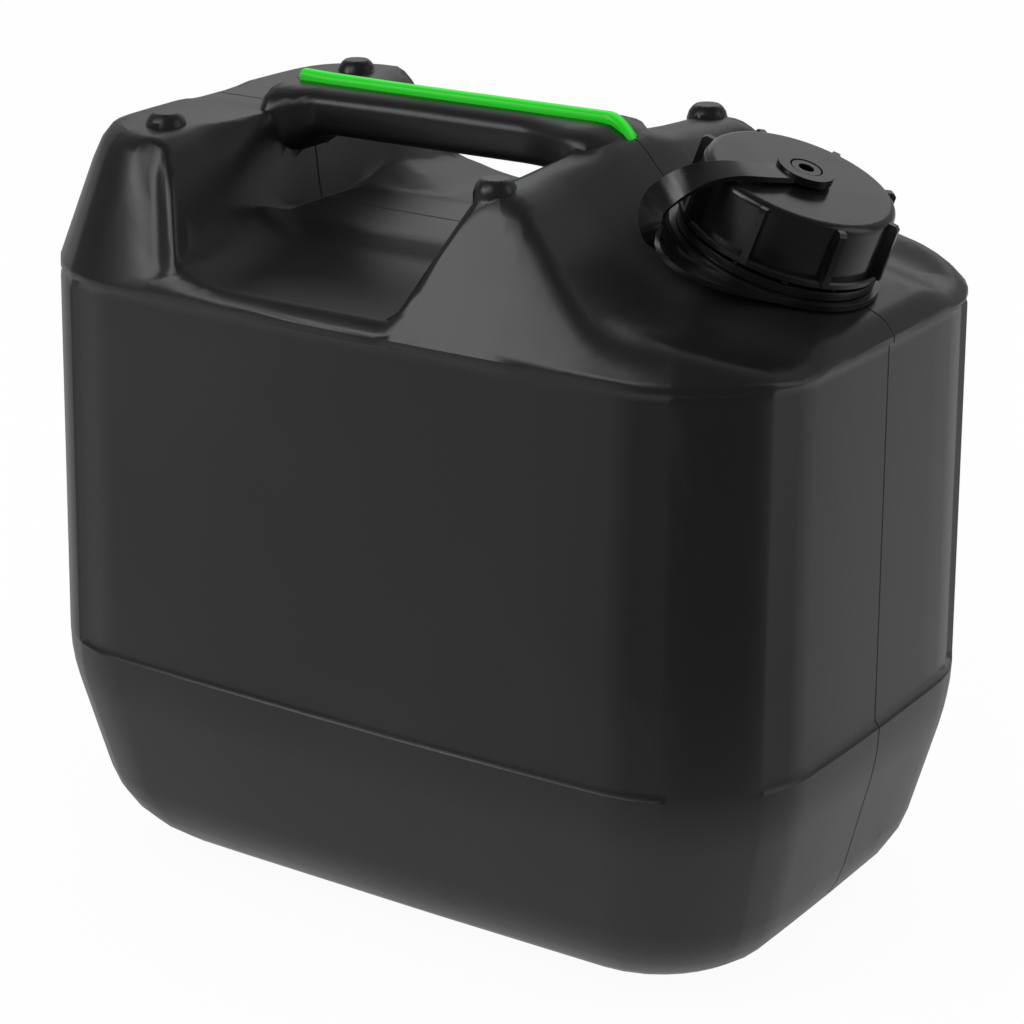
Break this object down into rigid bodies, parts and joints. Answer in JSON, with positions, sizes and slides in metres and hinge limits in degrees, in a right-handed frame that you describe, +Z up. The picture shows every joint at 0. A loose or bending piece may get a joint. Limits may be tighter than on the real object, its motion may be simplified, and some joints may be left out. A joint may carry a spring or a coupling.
{
  "type": "plastic canister",
  "caption": "Stackable moulded plastic canister with a full-width hollow handle, finger troughs, a tilted neck and a screw cap on a tether strap.",
  "frame": {"origin": "bottom centre of the part's box, on the standing plane under the middle of the body", "axes": "+Z up; +X along the length towards the neck and cap; -Y towards the long side that the picture shows"},
  "size_m": [0.3138, 0.2078, 0.2935],
  "materials": {
    "body": "satin black polyethylene",
    "cap": "glossy black",
    "strip": "glossy vivid green",
    "seal": "soft grey"
  },
  "bodies": {
    "canister": {"canister_body": "body", "handle_strip": "strip", "tamper_ring": "cap", "tether_strap": "cap"},
    "seal": {"cap_seal": "seal"},
    "cap": {"screw_cap": "cap"}
  },
  "joints": [
    {"name": "cap_lift", "type": "slide", "parent": "canister", "child": "seal", "axis": [0.342, 0, 0.9397], "range_m": [0, 0.0241], "deforming": ["tether_strap"]},
    {"name": "cap_turn", "type": "hinge", "parent": "seal", "child": "cap", "pos_m": [0.1068, 0, 0.2495], "axis": [0.342, 0, 0.9397], "range_deg": [0, 1440]}
  ],
  "couplings": [
    {"joint": "cap_lift", "follows": "cap_turn", "m_per_rad": 0.00095493}
  ]
}
